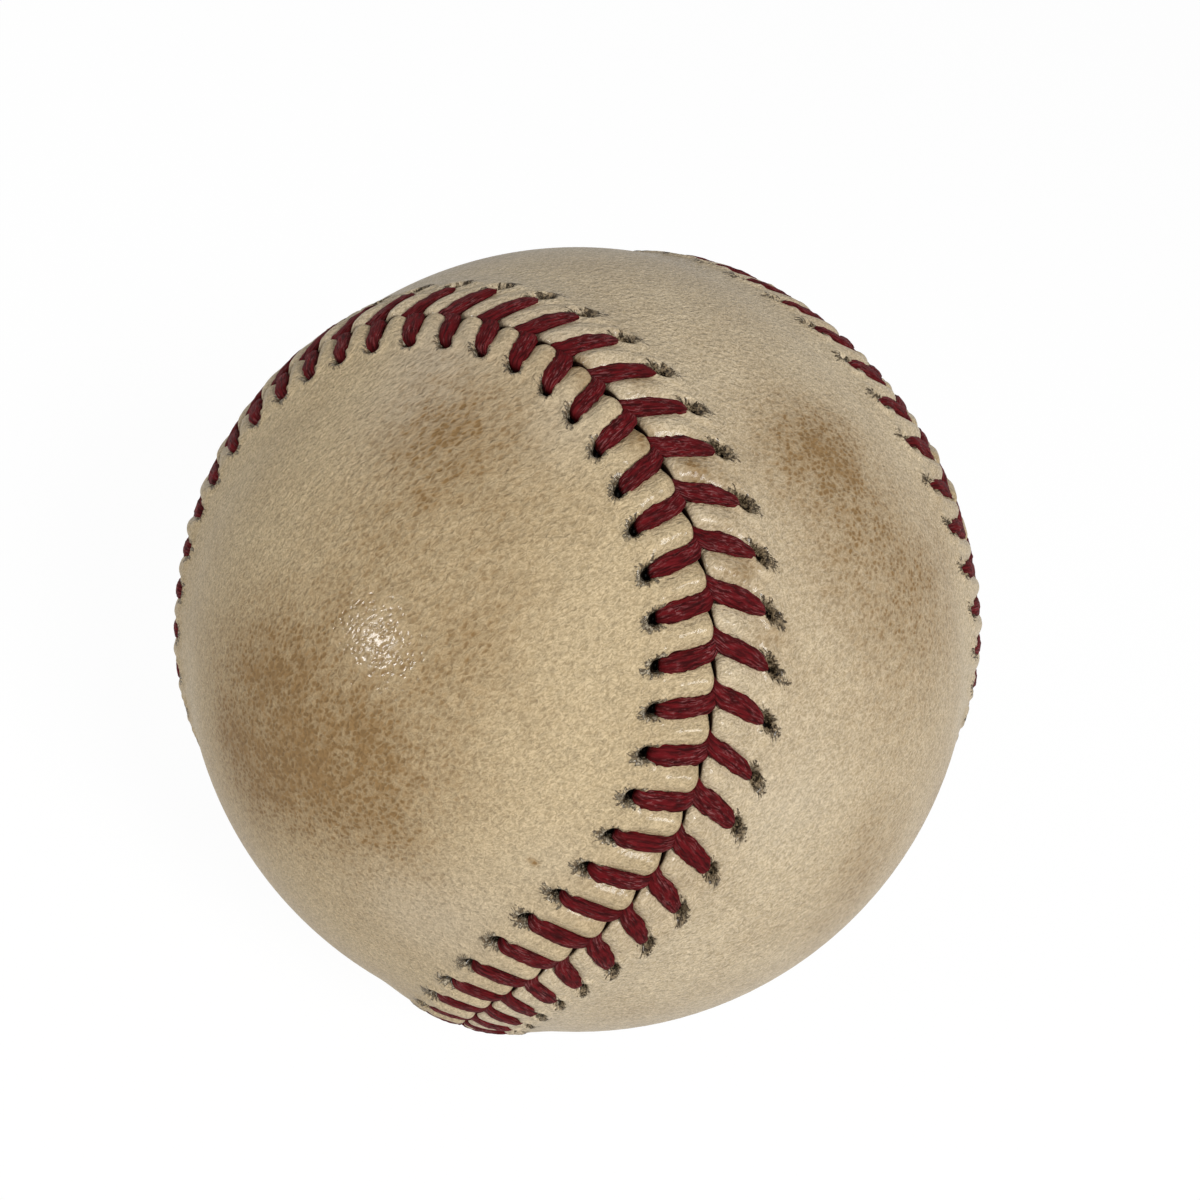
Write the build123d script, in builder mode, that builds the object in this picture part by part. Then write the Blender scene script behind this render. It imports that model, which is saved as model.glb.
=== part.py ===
from build123d import *
import math
import os

# A stitched leather baseball, in millimetres, with its centre at the origin.
# The two figure-eight cover panels have the middle of their waists on the Z axis: the upper panel's on top,
# the lower panel's below. The seam crosses the X and Y axes, and a half turn about X swaps the two panels.

# The pill: a cork ball in two black rubber half shells, sealed by a washer, in a layer of red rubber
cork_diameter = 20.6
black_shell_thickness = 3.95
gasket_thickness = 1.6
red_layer_thickness = 2.4

# Four windings of yarn, and the cement that is brushed on the last one
first_winding_thickness = 14.6
second_winding_thickness = 1.75
third_winding_thickness = 2.25
fourth_winding_thickness = 0.5
film_thickness = 0.1
layer_clearance = 0.02

# The leather cover, whose edges are lifted by the thread that runs under them
leather_thickness = 1.2
seam_lift = 0.5
seam_gap = 0.4
lift_width = 6.4
ramp_width = 1.6

# The seam's shape: four round bends joined by short straight runs, which cross the X and Y axes on a slant
straight_run = 3.6
seam_slant = 112.5

# The punched holes, one for each leg of a stitch
stitch_count = 108
first_stitch_share = 0.37
hole_reach = 4.7
hole_length = 1.1
hole_width = 1.3
upper_lean = 2.3
lower_lean = 0.9

# The thread: flat legs over the leather, necks down the seam, and flat runs under the leather
thread_clearance = 0.05
leg_width = 1.4
leg_height = 0.85
leg_end_width = 1.05
leg_end_height = 0.5
pass_thickness = 0.45
neck_width = 0.62
neck_height = 0.55
neck_spacing = 0.8
top_width_share = 0.55
leg_shares = (0.3, 0.7)

# Radii that follow from the layers, counted outwards
cork_radius = cork_diameter / 2
black_inner = cork_radius + layer_clearance
black_outer = black_inner + black_shell_thickness
red_inner = black_outer + layer_clearance
red_outer = red_inner + red_layer_thickness
first_inner = red_outer + layer_clearance
first_outer = first_inner + first_winding_thickness
second_inner = first_outer + layer_clearance
second_outer = second_inner + second_winding_thickness
third_inner = second_outer + layer_clearance
third_outer = third_inner + third_winding_thickness
fourth_inner = third_outer + layer_clearance
fourth_outer = fourth_inner + fourth_winding_thickness
film_inner = fourth_outer + layer_clearance
film_outer = film_inner + film_thickness
cover_inner = film_outer + layer_clearance
ball_radius = cover_inner + leather_thickness
bed_roof = cover_inner + seam_lift
seam_top = ball_radius + seam_lift
cut_overrun = leather_thickness / 6


def write(piece, name):
    """Label a finished piece and write its file."""
    piece.label = name
    export_step(piece, f"parts/{name}.step")


def hollow_ball(inner, outer):
    """A closed layer between two radii about the centre."""
    with BuildPart() as layer:
        Sphere(outer)
        Sphere(inner, mode=Mode.SUBTRACT)
    return layer.part


def turned(direction, axis, angle):
    """A direction turned about an axis through the centre, by an angle in radians."""
    return direction.rotate(Axis((0, 0, 0), axis), math.degrees(angle))


def seam_pieces():
    """The seam as a chain of arcs on the ball: each one's start, heading, axis, angle and length.

    A bend is centred on a plane that mirrors it, so its axis lies in that plane, and the bends alternate."""
    mirror_normal = Vector(-1, 1, 0)
    half_run = straight_run / 2
    slant = math.radians(seam_slant)
    place = Vector(1, 0, 0)
    heading = Vector(0, math.cos(slant), math.sin(slant))
    pieces = []

    def add_piece(axis, angle, length):
        pieces.append((place, heading, axis, angle, length))
        return turned(place, axis, angle), turned(heading, axis, angle)

    place, heading = add_piece(place.cross(heading), half_run / seam_top, half_run)
    side = place.cross(heading)
    bend = -side.dot(mirror_normal) / place.dot(mirror_normal)
    bend_share = 1 / math.hypot(1, bend)
    first_axis = (place * bend + side).normalized()
    spoke = place - first_axis * place.dot(first_axis)
    half_angle = math.atan2(-spoke.dot(mirror_normal), first_axis.cross(spoke).dot(mirror_normal)) % math.pi
    bend_length = 2 * half_angle * bend_share * seam_top
    for quarter in range(4):
        bend_sign = 1 - 2 * (quarter % 2)
        axis = (place * bend * bend_sign + place.cross(heading)).normalized()
        place, heading = add_piece(axis, 2 * half_angle, bend_length)
        run = half_run if quarter == 3 else straight_run
        place, heading = add_piece(place.cross(heading), run / seam_top, run)
    return pieces


seam = seam_pieces()
seam_length = sum(length for place, heading, axis, angle, length in seam)


def piece_frame(piece, share):
    """Part of the way along one arc of the seam: the outward, the along and the across direction.

    Across points into the upper panel."""
    place, heading, axis, angle, length = piece
    outward = turned(place, axis, angle * share)
    along = turned(heading, axis, angle * share)
    return outward, along, outward.cross(along)


def seam_frame(station):
    """The same three directions at a station, in mm along the seam."""
    rest = station % seam_length
    for piece in seam:
        length = piece[-1]
        if rest <= length:
            return piece_frame(piece, rest / length)
        rest -= length
    return piece_frame(seam[0], 0)


def beside(frame, across, radius):
    """The point that lies this far across the seam, at a radius from the centre."""
    outward, along, side = frame
    angle = across / seam_top
    return (outward * math.cos(angle) + side * math.sin(angle)) * radius


def seam_row(across, radius):
    """A closed chain of arcs that keeps one distance from the seam, at a radius from the centre."""
    with BuildLine() as row:
        for piece in seam:
            ThreePointArc(*[beside(piece_frame(piece, share), across, radius) for share in (0, 0.5, 1)])
    return row.wire()


def seam_wall(low_across, low_radius, high_across, high_radius):
    """A wall that follows the seam, ruled between two rows."""
    low_row = seam_row(low_across, low_radius)
    high_row = seam_row(high_across, high_radius)
    return Shell.make_loft([low_row, high_row], ruled=True)


os.makedirs("parts", exist_ok=True)

# The pill
with BuildPart() as cork_core:
    Sphere(cork_radius)
write(cork_core.part, "cork_core")

with BuildPart() as upper_black_shell:
    add(hollow_ball(black_inner, black_outer))
    split(bisect_by=Plane.XY.offset(gasket_thickness / 2 + layer_clearance), keep=Keep.TOP)
write(upper_black_shell.part, "upper_black_shell")

with BuildPart() as lower_black_shell:
    add(upper_black_shell.part)
    mirror(about=Plane.XY, mode=Mode.REPLACE)
write(lower_black_shell.part, "lower_black_shell")

with BuildPart() as red_gasket:
    with BuildSketch(Plane.XY.offset(-gasket_thickness / 2)):
        Circle(math.sqrt(black_outer**2 - (gasket_thickness / 2) ** 2))
        Circle(black_inner, mode=Mode.SUBTRACT)
    extrude(amount=gasket_thickness)
write(red_gasket.part, "red_gasket")

write(hollow_ball(red_inner, red_outer), "red_rubber_layer")

# The windings and the cement
write(hollow_ball(first_inner, first_outer), "first_winding")
write(hollow_ball(second_inner, second_outer), "second_winding")
write(hollow_ball(third_inner, third_outer), "third_winding")
write(hollow_ball(fourth_inner, fourth_outer), "fourth_winding")
write(hollow_ball(film_inner, film_outer), "cement_film")

# One cover panel before it is punched: the field lies on the ball, and the band along its edge is lifted
edge_across = seam_gap / 2
ramp_head = lift_width - ramp_width / 2
ramp_foot = lift_width + ramp_width / 2
ramp_slope = ramp_width / seam_lift
band_low = bed_roof - cut_overrun
band_high = seam_top + cut_overrun
ramp_low = ramp_foot + ramp_slope * (ball_radius - band_low)
ramp_high = ramp_head - ramp_slope * cut_overrun
panel_plane = Plane(origin=(0, 0, 0), x_dir=(0, 0, 1), z_dir=(-1, 1, 0))


def cover_layer(inner, outer):
    """A layer of the cover, whose own poles and seam line lie inside the upper panel."""
    with BuildPart() as layer:
        with Locations(panel_plane):
            Sphere(outer)
            Sphere(inner, mode=Mode.SUBTRACT)
    return layer.part


field_wall = seam_wall(ramp_head, cover_inner - cut_overrun, ramp_head, ball_radius + cut_overrun)
ramp_wall = seam_wall(ramp_low, band_low, ramp_high, band_high)
edge_wall = seam_wall(edge_across, band_low, edge_across, band_high)
waist_middle = Vertex(0, 0, seam_top)

with BuildPart() as panel_field:
    add(cover_layer(cover_inner, ball_radius))
    split(bisect_by=field_wall, keep=Keep.BOTH)
    add(panel_field.solids().sort_by_distance(waist_middle)[0], mode=Mode.REPLACE)
with BuildPart() as panel_band:
    add(cover_layer(bed_roof, seam_top))
    split(bisect_by=edge_wall, keep=Keep.BOTH)
    add(panel_band.solids().sort_by_distance(waist_middle)[0], mode=Mode.REPLACE)
    split(bisect_by=ramp_wall, keep=Keep.BOTH)
    add(panel_band.solids().sort_by_distance(waist_middle)[-1], mode=Mode.REPLACE)
with BuildPart() as plain_panel:
    add(panel_field.part)
    add(panel_band.part)

# The stitches: stations along the seam, each with one leg on either panel
stitch_pitch = seam_length / stitch_count
upper_side = 1
lower_side = -1
side_leans = {upper_side: upper_lean, lower_side: lower_lean}
pass_reach = hole_reach - hole_length / 2 + thread_clearance + pass_thickness / 2
neck_thickness = seam_gap - 2 * thread_clearance
run_sag = (hole_reach**2 + stitch_pitch**2) / (8 * cover_inner)
run_height = seam_lift - 2 * thread_clearance - run_sag
run_radius = bed_roof - thread_clearance - run_height / 2


def leg_start(stitch, side):
    """The station where the leg of a stitch goes down into the seam."""
    return -(stitch + first_stitch_share) * stitch_pitch - side * neck_spacing / 2


def leg_plane(stitch, side, reach, radius):
    """A plane on a leg, this far out from the seam: X runs along the leg, and Z points off the ball."""
    lean = side_leans[side] * reach / hole_reach
    station = leg_start(stitch, side) + lean
    outward, along, across = seam_frame(station)
    middle = beside((outward, along, across), side * reach, radius)
    slope = along * side_leans[side] + across * side * hole_reach
    upright = middle.normalized()
    return Plane(origin=middle, x_dir=slope - upright * slope.dot(upright), z_dir=upright)


def neck_plane(stitch, side, radius):
    """A plane in the seam where a leg goes down: X points square out of the seam, on the leg's side."""
    station = leg_start(stitch, side)
    outward, along, across = seam_frame(station)
    return Plane(origin=outward * radius, x_dir=across * side, z_dir=outward)


def thread_ring(place, turn, width, out, up):
    """The six corners of one thread section, as wide as given, whose height slants out and up."""
    half_width = place.y_dir * (turn * width / 2)
    half_top = half_width * top_width_share
    half_height = (place.x_dir * out + place.z_dir * up) * (turn / 2)
    spread = [half_width, half_top + half_height, half_height - half_top]
    return [place.origin + corner for corner in spread] + [place.origin - corner for corner in spread]


def flat_face(*corners):
    """One flat facet of a thread."""
    return Face(Wire.make_polygon(corners))


def ring_faces(low, high):
    """The facets that join two neighbouring rings, two to a side."""
    faces = []
    for corner, (start, end) in enumerate(zip(low, high)):
        following = (corner + 1) % len(low)
        faces.append(flat_face(start, low[following], high[following]))
        faces.append(flat_face(start, high[following], end))
    return faces


def lace(first_side):
    """One whole thread: up a hole, over to the seam, down it, and under the other panel to its next hole."""
    end_radius = seam_top + thread_clearance + leg_end_height / 2
    leg_radius = seam_top + thread_clearance + leg_height / 2
    neck_radius = seam_top + thread_clearance + neck_height / 2
    rings = []
    for stitch in range(stitch_count):
        turn = 1 - 2 * (stitch % 2)
        side = first_side * turn
        hole_floor = leg_plane(stitch, side, pass_reach, run_radius)
        hole_mouth = leg_plane(stitch, side, pass_reach, end_radius)
        rings.append(thread_ring(hole_floor, turn, leg_end_width, pass_thickness, -run_height))
        rings.append(thread_ring(hole_mouth, turn, leg_end_width, pass_thickness, leg_end_height))
        for share in leg_shares:
            leg_middle = leg_plane(stitch, side, pass_reach * (1 - share), leg_radius)
            rings.append(thread_ring(leg_middle, turn, leg_width, 0, leg_height))
        neck_mouth = neck_plane(stitch, side, neck_radius)
        neck_floor = neck_plane(stitch, side, run_radius)
        rings.append(thread_ring(neck_mouth, turn, neck_width, -neck_thickness, neck_height))
        rings.append(thread_ring(neck_floor, turn, neck_width, -neck_thickness, run_height))
    faces = [flat_face(*rings[0]), flat_face(*rings[-1])]
    for low, high in zip(rings, rings[1:]):
        faces.extend(ring_faces(low, high))
    with BuildPart() as thread:
        add(Solid(Shell(faces)))
    return thread.part


write(lace(upper_side), "first_thread")
write(lace(lower_side), "second_thread")


def punched_panel(side, half_turns):
    """A finished panel: the plain form, turned into place, with a hole for each leg on its side."""
    with BuildPart() as panel:
        with Locations(Rotation(180 * half_turns, 0, 0)):
            add(plain_panel.part)
        middle_radius = bed_roof + leather_thickness / 2
        holes = [leg_plane(stitch, side, hole_reach, middle_radius) for stitch in range(stitch_count)]
        with Locations(*holes):
            Box(hole_length, hole_width, leather_thickness + 2 * seam_lift, mode=Mode.SUBTRACT)
    return panel.part


write(punched_panel(upper_side, 0), "upper_cover_panel")
write(punched_panel(lower_side, 1), "lower_cover_panel")
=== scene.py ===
import bmesh
import bpy
import numpy as np
from mathutils import Matrix, Vector


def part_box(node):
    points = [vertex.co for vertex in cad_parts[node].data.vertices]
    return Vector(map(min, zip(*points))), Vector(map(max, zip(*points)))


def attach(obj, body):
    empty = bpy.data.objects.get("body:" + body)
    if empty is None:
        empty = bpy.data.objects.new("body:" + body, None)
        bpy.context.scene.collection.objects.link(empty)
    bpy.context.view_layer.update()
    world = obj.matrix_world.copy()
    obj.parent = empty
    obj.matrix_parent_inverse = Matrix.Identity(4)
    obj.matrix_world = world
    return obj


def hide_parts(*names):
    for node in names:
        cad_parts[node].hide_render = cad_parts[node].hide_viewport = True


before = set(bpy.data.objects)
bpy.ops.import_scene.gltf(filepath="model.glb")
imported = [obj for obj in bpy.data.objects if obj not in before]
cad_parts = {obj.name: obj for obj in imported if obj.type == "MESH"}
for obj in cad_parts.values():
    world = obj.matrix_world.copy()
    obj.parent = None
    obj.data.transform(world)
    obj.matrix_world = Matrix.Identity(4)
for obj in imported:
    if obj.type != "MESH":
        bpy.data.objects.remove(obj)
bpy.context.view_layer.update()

# The view. The ball was photographed from close by, a little above it, with the camera tilted to one side,
# so the ground lies down and to the left of the picture. The ball's centre is the frame's origin.
picture_side = 1200
toward_camera = Vector((-0.2175, -0.7554, 0.6181)).normalized()
camera_up = Vector((-0.2594, 0.6552, 0.7095))
camera_right = camera_up.cross(toward_camera).normalized()
camera_up = toward_camera.cross(camera_right)
camera_distance = 0.1532
camera_lens = 47.03
camera_sensor = 36
camera_shift = (0.0190, 0.0329)

camera_data = bpy.data.cameras.new("photo_camera")
camera_data.lens = camera_lens
camera_data.sensor_width = camera_sensor
camera_data.shift_x, camera_data.shift_y = camera_shift
camera_data.clip_start = camera_distance / 100
camera = bpy.data.objects.new("photo_camera", camera_data)
bpy.context.scene.collection.objects.link(camera)
camera_axes = Matrix((camera_right, camera_up, toward_camera)).transposed()
camera.matrix_world = Matrix.Translation(toward_camera * camera_distance) @ camera_axes.to_4x4()
bpy.context.scene.camera = camera
bpy.context.scene.view_settings.view_transform = "Standard"

# The core and the windings. A cork ball sits in black and red rubber, wound with wool and cotton and brushed
# with cement. The cover hides them all, so the solids stay as they are and get the finish of each material.


def new_finish(name):
    """A new material: the material, its node tree and its shader."""
    finish = bpy.data.materials.new(name)
    finish.use_nodes = True
    return finish, finish.node_tree, finish.node_tree.nodes["Principled BSDF"]


def add_node(tree, kind, inputs, **settings):
    """One shader node: settings are its own properties, and inputs are values, or sockets to link."""
    made = tree.nodes.new(kind)
    for name, value in settings.items():
        setattr(made, name, value)
    for name, value in inputs.items():
        if isinstance(value, bpy.types.NodeSocket):
            tree.links.new(value, made.inputs[name])
        else:
            made.inputs[name].default_value = value
    return made


def reckon(tree, operation, *values, clamp=False):
    """One sum of a material: the socket that holds its result."""
    made = add_node(tree, "ShaderNodeMath", dict(enumerate(values)), operation=operation, use_clamp=clamp)
    return made.outputs[0]


def reckon_vector(tree, operation, first, second):
    """One sum of a material with vectors: two of them, or one and the number that scales it."""
    inputs = {0: first, "Scale" if operation == "SCALE" else 1: second}
    made = add_node(tree, "ShaderNodeVectorMath", inputs, operation=operation)
    return made.outputs["Value" if operation == "DOT_PRODUCT" else "Vector"]


def blend_colours(tree, share, low, high, how="MIX"):
    """Two colours blended by a share: the socket that holds the result."""
    inputs = {0: share, 6: low, 7: high}
    return add_node(tree, "ShaderNodeMix", inputs, data_type="RGBA", blend_type=how).outputs[2]


def spread(tree, value, low, high, new_low=0, new_high=1):
    """A value moved from one range to another and held inside it, with soft ends."""
    inputs = {"Value": value, "From Min": low, "From Max": high, "To Min": new_low, "To Max": new_high}
    return add_node(tree, "ShaderNodeMapRange", inputs, interpolation_type="SMOOTHSTEP").outputs[0]


def object_place(tree):
    """The point on the piece, in the frame's metres."""
    return add_node(tree, "ShaderNodeTexCoord", {}).outputs["Object"]


def cloud(tree, place, size, detail=2, roughness=0.5):
    """Soft noise with lumps of a size in metres: its value."""
    inputs = {"Vector": place, "Scale": 1 / size, "Detail": detail, "Roughness": roughness}
    return add_node(tree, "ShaderNodeTexNoise", inputs).outputs[0]


def raise_bump(tree, shader, height, depth, strength=1.0):
    """Relief on a shader from a height of 0 to 1, as deep as given in metres."""
    bump = add_node(tree, "ShaderNodeBump", {"Height": height, "Distance": depth, "Strength": strength})
    tree.links.new(bump.outputs[0], shader.inputs["Normal"])


def grain_finish(name, grain, dark, pale, depth, roughness):
    """Pressed crumbs: cells of a size, each with its own shade between two colours."""
    finish, tree, shader = new_finish(name)
    cells = add_node(tree, "ShaderNodeTexVoronoi", {"Vector": object_place(tree), "Scale": 1 / grain})
    shade = add_node(tree, "ShaderNodeSeparateColor", {0: cells.outputs["Color"]}).outputs[0]
    tree.links.new(blend_colours(tree, shade, (*dark, 1), (*pale, 1)), shader.inputs["Base Color"])
    raise_bump(tree, shader, cells.outputs["Distance"], depth)
    shader.inputs["Roughness"].default_value = roughness
    return finish


turns_in_patch = 14
# The scale at which the wave node draws one crest in every metre
crest_scale = 0.314
fuzz_share = 0.3


def yarn_finish(name, yarn, dark, pale, roughness=0.9):
    """Wound yarn: patches of parallel turns, each wound another way, crowns painted light and gaps painted
    shade.
    """
    finish, tree, shader = new_finish(name)
    place = object_place(tree)
    patches = add_node(tree, "ShaderNodeTexVoronoi", {"Vector": place, "Scale": 1 / (yarn * turns_in_patch)})
    angles = reckon_vector(tree, "SCALE", patches.outputs["Color"], np.pi)
    turned = add_node(
        tree, "ShaderNodeVectorRotate", {"Vector": place, "Rotation": angles}, rotation_type="EULER_XYZ",
    ).outputs[0]
    turns = add_node(
        tree, "ShaderNodeTexWave",
        {"Vector": turned, "Scale": crest_scale / yarn, "Distortion": 1.2, "Detail": 2.0,
         "Detail Scale": 2.0},
        wave_profile="SIN",
    ).outputs[1]
    fuzz = cloud(tree, place, yarn / 5, detail=3)
    # The crowns of the turns are painted light and the gaps between them painted shade
    crown_light_and_gap_shade = spread(tree, turns, 0, 0.8, 0.25, 1)
    shade = reckon(tree, "MULTIPLY", crown_light_and_gap_shade, spread(tree, fuzz, 0.2, 0.7, 0.6, 1))
    tree.links.new(blend_colours(tree, shade, (*dark, 1), (*pale, 1)), shader.inputs["Base Color"])
    relief = reckon(tree, "ADD", turns, reckon(tree, "MULTIPLY", fuzz, fuzz_share))
    raise_bump(tree, shader, relief, yarn / 2)
    shader.inputs["Roughness"].default_value = roughness
    return finish


core_finishes = {
    "cork_core": grain_finish(
        "cork", grain=0.0011, dark=(0.12, 0.06, 0.03), pale=(0.50, 0.31, 0.16), depth=0.0002,
        roughness=0.85),
    "black_shell": grain_finish(
        "black_rubber", grain=0.0006, dark=(0.012, 0.012, 0.012), pale=(0.03, 0.03, 0.032), depth=0.00005,
        roughness=0.6),
    "red_rubber": grain_finish(
        "red_rubber", grain=0.0006, dark=(0.30, 0.03, 0.025), pale=(0.42, 0.06, 0.045), depth=0.00005,
        roughness=0.55),
    # Each yarn's dark colour is the painted shade in its gaps, and its pale one the painted light on its
    # crowns
    "first_winding": yarn_finish(
        "four_ply_grey_wool", yarn=0.0016, dark=(0.10, 0.10, 0.10), pale=(0.40, 0.39, 0.37)),
    "second_winding": yarn_finish(
        "three_ply_white_wool", yarn=0.0013, dark=(0.42, 0.39, 0.33), pale=(0.82, 0.79, 0.71)),
    "third_winding": yarn_finish(
        "three_ply_grey_wool", yarn=0.0013, dark=(0.12, 0.12, 0.12), pale=(0.45, 0.44, 0.42)),
    "fourth_winding": yarn_finish(
        "white_cotton_yarn", yarn=0.0006, dark=(0.48, 0.45, 0.38), pale=(0.86, 0.83, 0.75)),
    "cement_film": grain_finish(
        "rubber_cement", grain=0.0015, dark=(0.50, 0.40, 0.22), pale=(0.66, 0.56, 0.34), depth=0.00004,
        roughness=0.35),
}
core_nodes = {
    "cork_core": "cork_core", "upper_black_shell": "black_shell", "lower_black_shell": "black_shell",
    "red_gasket": "red_rubber", "red_rubber_layer": "red_rubber", "first_winding": "first_winding",
    "second_winding": "second_winding", "third_winding": "third_winding", "fourth_winding": "fourth_winding",
    "cement_film": "cement_film",
}
for node_name, finish_name in core_nodes.items():
    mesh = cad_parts[node_name].data
    mesh.materials.clear()
    mesh.materials.append(core_finishes[finish_name])

# The cover. Two figure-eight panels of white cowhide, soaked, stretched over the ball and laced edge to
# edge. The lacing pulls the edges up into a low ridge, with a puffed pillow of leather between the stitches.
seam_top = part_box("upper_cover_panel")[1].x
ball_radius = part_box("upper_cover_panel")[1].z
leather_thickness = 0.0012
straight_run = 0.0036
seam_slant = np.radians(112.5)
stitch_count = 108
first_stitch_share = 0.37
stitch_columns = 16
upper_side = 1
lower_side = -1
neck_spacing = 0.0008
hole_reach = {upper_side: 0.0049, lower_side: 0.0044}
hole_slide = {upper_side: 0.00035, lower_side: 0.00005}
leg_lean = {upper_side: 0.0022, lower_side: 0.00088}
leg_bow = {upper_side: -0.00030, lower_side: -0.00010}
leg_stray = 0.00018
lean_end_share = 1.25
# Where the holes stray from their even line: the middle and width of a stretch, and a share of the reach
hole_strays = {
    upper_side: ((0.3163, 0.0160, -0.15),),
    lower_side: ((0.2524, 0.0175, -0.27), (0.3125, 0.0085, 0.15), (0.3400, 0.0120, -0.10)),
}


def turn_about(direction, axis, angle):
    """Directions turned about an axis: the part across the axis swings round, the part along it stays."""
    angle = np.asarray(angle)[..., None]
    kept = axis * np.sum(axis * direction, axis=-1, keepdims=True) * (1 - np.cos(angle))
    return direction * np.cos(angle) + np.cross(axis, direction) * np.sin(angle) + kept


def seam_chain():
    """The seam as nine arcs: short straight runs over the X and Y axes, joined by four round bends.

    A bend's axis lies in the plane that mirrors it, and every second bend turns the other way.
    Gives each arc's start, heading, axis, angle and length, all as arrays."""
    mirror_normal = np.array((-1, 1, 0))
    half_run = straight_run / 2
    place = np.array((1.0, 0, 0))
    heading = np.array((0, np.cos(seam_slant), np.sin(seam_slant)))
    arcs = []

    def add_arc(axis, angle, length):
        arcs.append((place, heading, axis, angle, length))
        return turn_about(place, axis, angle), turn_about(heading, axis, angle)

    place, heading = add_arc(np.cross(place, heading), half_run / seam_top, half_run)
    side = np.cross(place, heading)
    bend = -(side @ mirror_normal) / (place @ mirror_normal)
    first_axis = (place * bend + side) / np.hypot(1, bend)
    spoke = place - first_axis * (place @ first_axis)
    half_angle = np.arctan2(-(spoke @ mirror_normal), np.cross(first_axis, spoke) @ mirror_normal) % np.pi
    bend_length = 2 * half_angle * seam_top / np.hypot(1, bend)
    for quarter in range(4):
        bend_sign = 1 - 2 * (quarter % 2)
        axis = (place * bend * bend_sign + np.cross(place, heading)) / np.hypot(1, bend)
        place, heading = add_arc(axis, 2 * half_angle, bend_length)
        run = half_run if quarter == 3 else straight_run
        place, heading = add_arc(np.cross(place, heading), run / seam_top, run)
    return [np.array(column) for column in zip(*arcs)]


seam_arcs = seam_chain()
arc_ends = np.cumsum(seam_arcs[4])
seam_length = arc_ends[-1]
stitch_pitch = seam_length / stitch_count


def seam_frame(station):
    """The outward, along and across directions at stations along the seam; across points to the upper panel.

    Finds the arc that holds each station, and turns the arc's start and heading by a share of its angle."""
    rest = np.asarray(station) % seam_length
    arc = np.searchsorted(arc_ends, rest).clip(0, len(arc_ends) - 1)
    place, heading, axis, angle, length = [column[arc] for column in seam_arcs]
    share = 1 - (arc_ends[arc] - rest) / length
    outward = turn_about(place, axis, angle * share)
    along = turn_about(heading, axis, angle * share)
    return outward, along, np.cross(outward, along)


def beside_seam(station, across, radius):
    """Points this far across the seam and at this radius: the outward direction, leant over by an angle."""
    outward, along, side = seam_frame(station)
    angle = (across / seam_top)[..., None]
    return (outward * np.cos(angle) + side * np.sin(angle)) * radius[..., None]


def step(value, low, high):
    """0 below low, 1 above high, and a soft S between them."""
    share = np.clip((value - low) / (high - low), 0, 1)
    return share * share * (3 - 2 * share)


def hump(value, middle, width):
    """A bell of height 1 about a middle."""
    return np.exp(-(((value - middle) / width) ** 2))


wander_traits = 4
place_trait, swell_trait, width_trait = range(3)
stitch_wander = np.random.default_rng(7).uniform(-1, 1, (2, wander_traits, stitch_count))


def wander(side, trait, stitch):
    """How far one trait of the stitches strays, from -1 to 1: drawn for each, and even between them."""
    row = stitch_wander[(side + 1) // 2, trait]
    return np.interp(stitch, np.arange(stitch_count), row, period=stitch_count)


def hole_at(side, station):
    """How far the holes lie from the seam: even, but drawn in or let out along a few stretches."""
    share = np.ones_like(station)
    for middle, width, stray in hole_strays[side]:
        along = (station - middle + seam_length / 2) % seam_length - seam_length / 2
        share = share + stray * hump(along, 0, width)
    return hole_reach[side] * share


def leg_station(side, stitch, reach):
    """Where a leg lies along the seam at a reach from it: its start, plus its lean, plus a slight bow."""
    share = reach / hole_at(side, -stitch * stitch_pitch)
    start = -(stitch + first_stitch_share) * stitch_pitch - side * neck_spacing / 2
    stray = leg_stray * wander(side, place_trait, stitch) * share
    return start + leg_lean[side] * share + leg_bow[side] * 4 * share * (1 - share) + stray


def beside_leg(side, station, reach):
    """How far points on the leather lie along the seam from the nearest leg, and that leg's count.

    The count comes from the station without its lean, and the rest from the leg's own line."""
    share = np.minimum(reach / hole_at(side, station), lean_end_share)
    lean = leg_lean[side] * share + leg_bow[side] * 4 * share * (1 - share)
    count = -(station - lean + side * neck_spacing / 2) / stitch_pitch - first_stitch_share
    stray = leg_stray * wander(side, place_trait, count % stitch_count) * np.minimum(share, 1)
    count = count + stray / stitch_pitch
    return (np.round(count) - count) * stitch_pitch, count


seam_lift = seam_top - ball_radius
ridge_start = 0.0042
ridge_end = 0.0088
pillow_height = 0.00095
pillow_vary_share = 0.22
pillow_power = 0.75
# A pillow starts to fade and has died out at these shares of the holes' reach
pillow_fade_shares = {upper_side: (0.25, 1.15), lower_side: (0.60, 1.30)}
pillow_reach = 0.0058
seat_depth = 0.00036
lip_length = 0.00070
lip_drop = 0.00048
edge_shut = 0.00005
stem_gap = 0.00012
stem_place = -0.0006
stem_width = 0.0007
slit_gap = 0.00005
slit_place = 0.0009
slit_width = 0.0005
# A hole is a pit with a low rim round it, both placed by shares of the pit's half sizes
pit_depth = 0.0011
pit_wide = 0.00070
pit_long = 0.00050
pit_wall_shares = (0.4, 1.2)
rim_height = 0.00022
rim_share = 1.7
rim_width_share = 0.5


def leather_edge(side, station):
    """How far the cut edge lies from the seam's middle: shut on the pillows, open where a thread comes up.

    Two bells open it for every stitch: a wide one above the leg for the stem, and a slit below the leg."""
    offset = beside_leg(side, station, np.zeros_like(station))[0]
    stem = stem_gap * hump(offset, stem_place, stem_width)
    return edge_shut + stem + slit_gap * hump(offset, slit_place, slit_width)


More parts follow.
